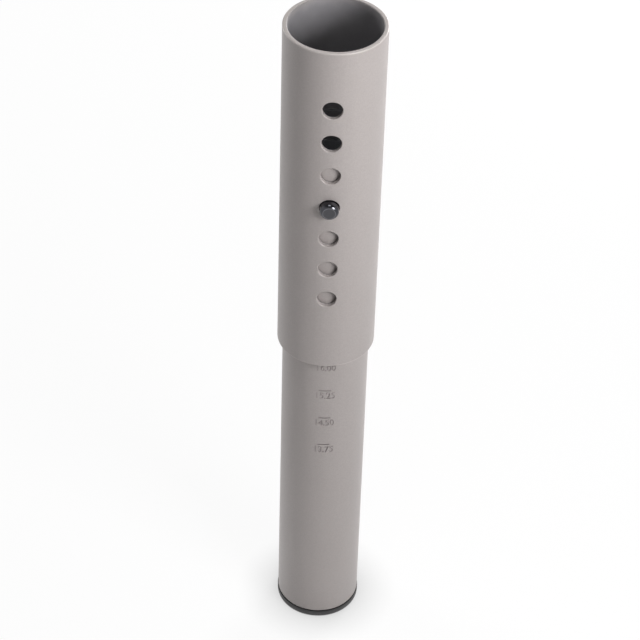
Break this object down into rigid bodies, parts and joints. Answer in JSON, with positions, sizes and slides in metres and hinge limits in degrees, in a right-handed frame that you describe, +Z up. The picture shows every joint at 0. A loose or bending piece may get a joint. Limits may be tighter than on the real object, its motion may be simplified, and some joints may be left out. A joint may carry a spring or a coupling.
{
  "type": "adjustable furniture leg",
  "caption": "Telescoping round steel furniture leg: the leg tube slides in a drilled sleeve, a spring button locks its height, and a plastic plug closes the foot.",
  "frame": {"origin": "centre of the foot's underside, on the floor", "axes": "+Z up along the leg, -Y out through the height holes, +X to the right as seen from the front"},
  "size_m": [0.05, 0.0544, 0.381],
  "materials": {
    "silver_paint": "satin",
    "button_steel": "polished",
    "spring_steel": "satin",
    "black_plastic": "matte"
  },
  "bodies": {
    "leg": {"leg_tube": "silver_paint", "foot_plug": "black_plastic", "spring_clip": "spring_steel"},
    "sleeve": {"sleeve_tube": "silver_paint"},
    "button": {"lock_button": "button_steel"}
  },
  "joints": [
    {"name": "height_slide", "type": "slide", "parent": "leg", "child": "sleeve", "axis": [0, 0, 1], "range_m": [-0.05715, 0.05715]},
    {"name": "button_press", "type": "slide", "parent": "leg", "child": "button", "axis": [0, 1, 0], "range_m": [0, 0.0075], "stiffness_N_per_m": 1000, "springref_m": -0.004, "deforming": ["spring_clip"]}
  ]
}
